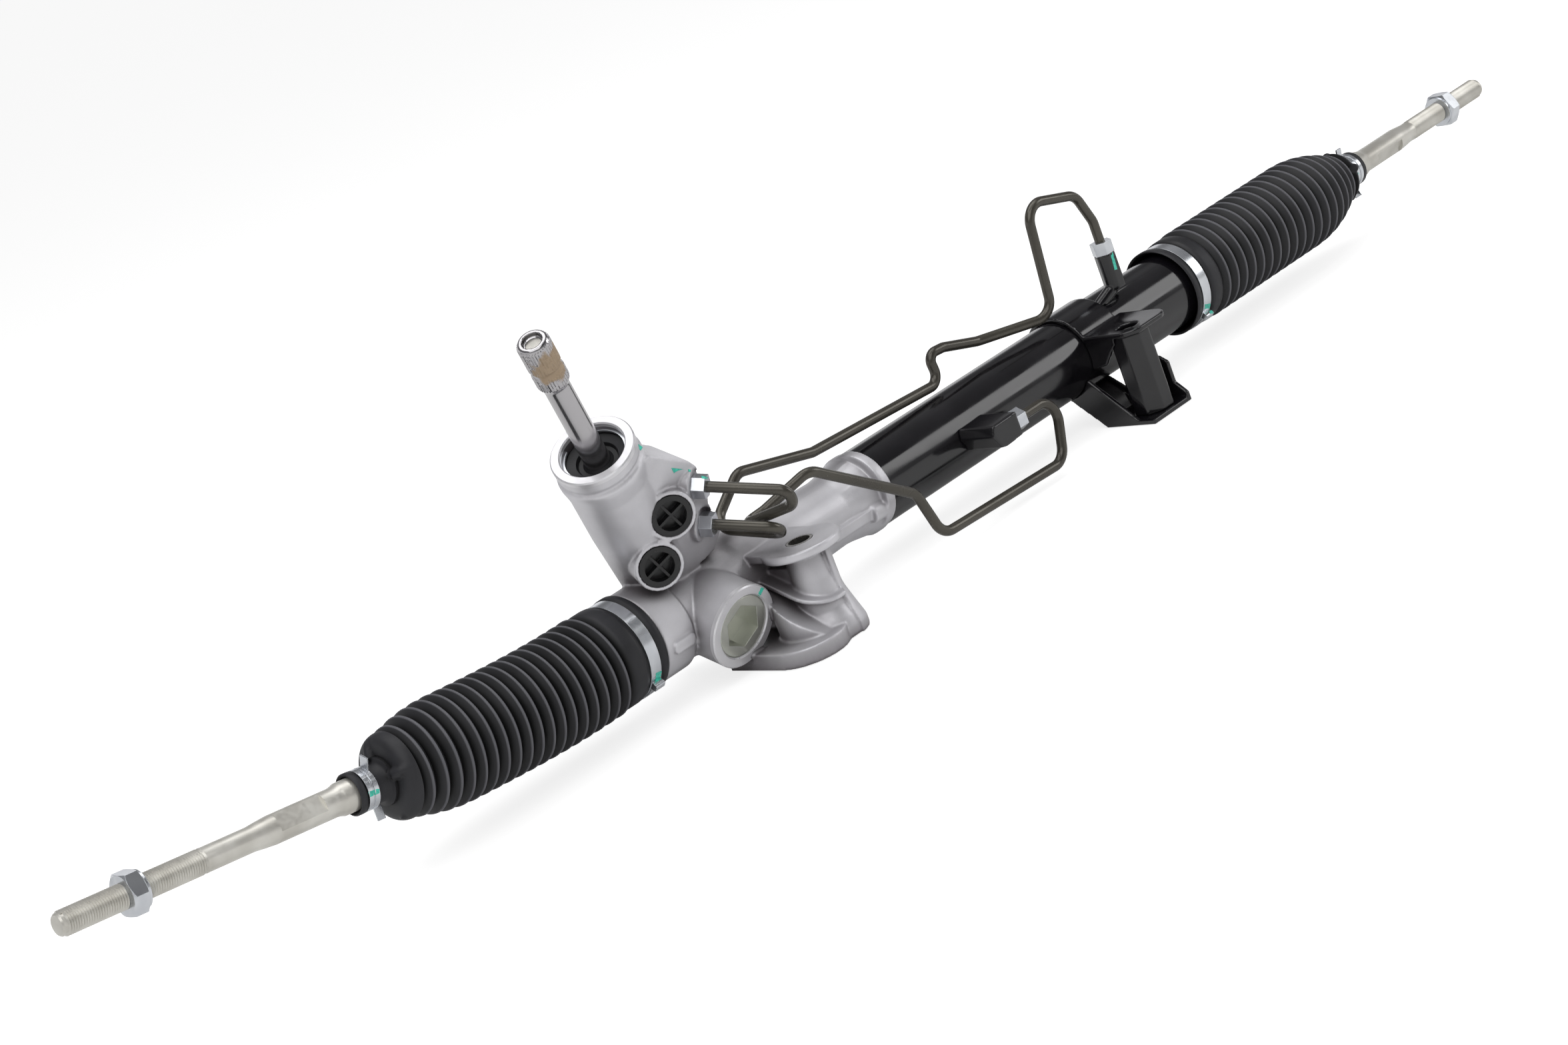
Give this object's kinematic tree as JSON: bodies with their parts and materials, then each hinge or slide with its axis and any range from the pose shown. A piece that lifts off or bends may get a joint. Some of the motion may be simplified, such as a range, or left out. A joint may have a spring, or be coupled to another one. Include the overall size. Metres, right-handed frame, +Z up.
{
  "type": "power steering rack",
  "caption": "Hydraulic rack-and-pinion steering gear: cast pinion housing with splined input shaft, steel cylinder with transfer pipes, rubber boots and threaded tie rods.",
  "frame": {"origin": "centre of the cast mounting boss's bolt hole, on its bottom seat", "axes": "+X along the rack towards the piston and the bracket, +Z up the two mounting bolt holes, +Y from the yoke side towards the pinion side"},
  "size_m": [1.2608, 0.1286, 0.2444],
  "materials": {
    "housing_casting": "sand-cast, lightly blasted",
    "sleeve_steel": "turned steel sleeve",
    "yoke_alloy": "machined",
    "spring_steel": "spring wire",
    "plug_alloy": "machined, bright",
    "bearing_steel": "ground",
    "cap_steel": "plain steel",
    "seal_rubber": "moulded rubber",
    "port_plug_plastic": "moulded transit plug",
    "tube_black": "semi-gloss black coat",
    "port_black": "semi-gloss black coat",
    "bulkhead_alloy": "machined bush",
    "pipe_steel": "plated steel pipe, grey-brown",
    "zinc_nuts": "zinc plated",
    "bracket_black": "semi-gloss black coat",
    "rack_steel": "ground bar",
    "piston_steel": "turned",
    "ring_plastic": "filled PTFE ring",
    "pinion_steel": "hardened",
    "valve_steel": "ground",
    "shaft_steel": "machined, splined end",
    "socket_steel": "forged and turned",
    "seat_plastic": "moulded seat",
    "rod_steel": "zinc plated bar",
    "boot_rubber": "moulded rubber bellows",
    "clamp_steel": "zinc plated strip"
  },
  "bodies": {
    "housing": {"housing": "housing_casting", "mount_sleeve": "sleeve_steel", "cylinder_tube": "tube_black", "left_port": "port_black", "right_port": "port_black", "left_pipe": "pipe_steel", "right_pipe": "pipe_steel", "upper_flare_nut": "zinc_nuts", "lower_flare_nut": "zinc_nuts", "left_flare_nut": "zinc_nuts", "right_flare_nut": "zinc_nuts", "upper_port_plug": "port_plug_plastic", "lower_port_plug": "port_plug_plastic", "bracket_top": "bracket_black", "bracket_bottom": "bracket_black", "bracket_column": "bracket_black", "yoke": "yoke_alloy", "yoke_spring": "spring_steel", "yoke_plug": "plug_alloy", "upper_bearing": "bearing_steel", "middle_bearing": "bearing_steel", "lower_bearing": "bearing_steel", "bottom_cap": "cap_steel", "top_seal": "seal_rubber", "snap_ring": "cap_steel", "inner_seal": "seal_rubber", "bulkhead": "bulkhead_alloy", "bulkhead_seal": "seal_rubber", "bulkhead_o_ring": "seal_rubber", "retaining_wire": "spring_steel", "left_boot": "boot_rubber", "right_boot": "boot_rubber", "left_band_clamp": "clamp_steel", "right_band_clamp": "clamp_steel"},
    "rack": {"rack_bar": "rack_steel", "piston": "piston_steel", "piston_ring": "ring_plastic", "left_inner_socket": "socket_steel", "right_inner_socket": "socket_steel"},
    "pinion": {"pinion_gear": "pinion_steel", "pinion_nut": "cap_steel", "valve_sleeve": "valve_steel", "sleeve_seal_1": "ring_plastic", "sleeve_seal_2": "ring_plastic", "sleeve_seal_3": "ring_plastic", "sleeve_seal_4": "ring_plastic", "torsion_pin": "cap_steel", "torsion_bar": "pinion_steel"},
    "input_shaft": {"input_shaft": "shaft_steel"},
    "left_ball_seat": {"left_ball_seat": "seat_plastic"},
    "right_ball_seat": {"right_ball_seat": "seat_plastic"},
    "left_tie_rod": {"left_tie_rod": "rod_steel", "left_jam_nut": "zinc_nuts", "left_neck_clamp": "clamp_steel"},
    "right_tie_rod": {"right_tie_rod": "rod_steel", "right_jam_nut": "zinc_nuts", "right_neck_clamp": "clamp_steel"}
  },
  "joints": [
    {"name": "rack_slide", "type": "slide", "parent": "housing", "child": "rack", "axis": [1, 0, 0], "range_m": [-0.072, 0.072], "deforming": ["left_boot", "right_boot"]},
    {"name": "pinion_spin", "type": "hinge", "parent": "housing", "child": "pinion", "pos_m": [-0.0497, 0.06388, 0.05168], "axis": [-0.3746, -0.3511, 0.8581], "range_deg": [-547, 547]},
    {"name": "valve_twist", "type": "hinge", "parent": "pinion", "child": "input_shaft", "pos_m": [-0.10589, 0.01122, 0.1804], "axis": [-0.3746, -0.3511, 0.8581], "range_deg": [-4, 4], "stiffness_Nm_per_rad": 90},
    {"name": "left_pitch", "type": "hinge", "parent": "rack", "child": "left_ball_seat", "pos_m": [-0.199, 0.05, 0.046], "axis": [0, 1, 0], "range_deg": [-26.2, 9.8], "deforming": ["left_boot"]},
    {"name": "left_sweep", "type": "hinge", "parent": "left_ball_seat", "child": "left_tie_rod", "pos_m": [-0.199, 0.05, 0.046], "axis": [0.1426, 0, 0.9898], "range_deg": [-18, 18], "deforming": ["left_boot"]},
    {"name": "right_pitch", "type": "hinge", "parent": "rack", "child": "right_ball_seat", "pos_m": [0.488, 0.05, 0.046], "axis": [0, 1, 0], "range_deg": [-18, 18], "deforming": ["right_boot"]},
    {"name": "right_sweep", "type": "hinge", "parent": "right_ball_seat", "child": "right_tie_rod", "pos_m": [0.488, 0.05, 0.046], "axis": [0, 0, 1], "range_deg": [-18, 18], "deforming": ["right_boot"]}
  ],
  "couplings": [
    {"joint": "pinion_spin", "follows": "rack_slide", "rad_per_m": 132.45}
  ]
}
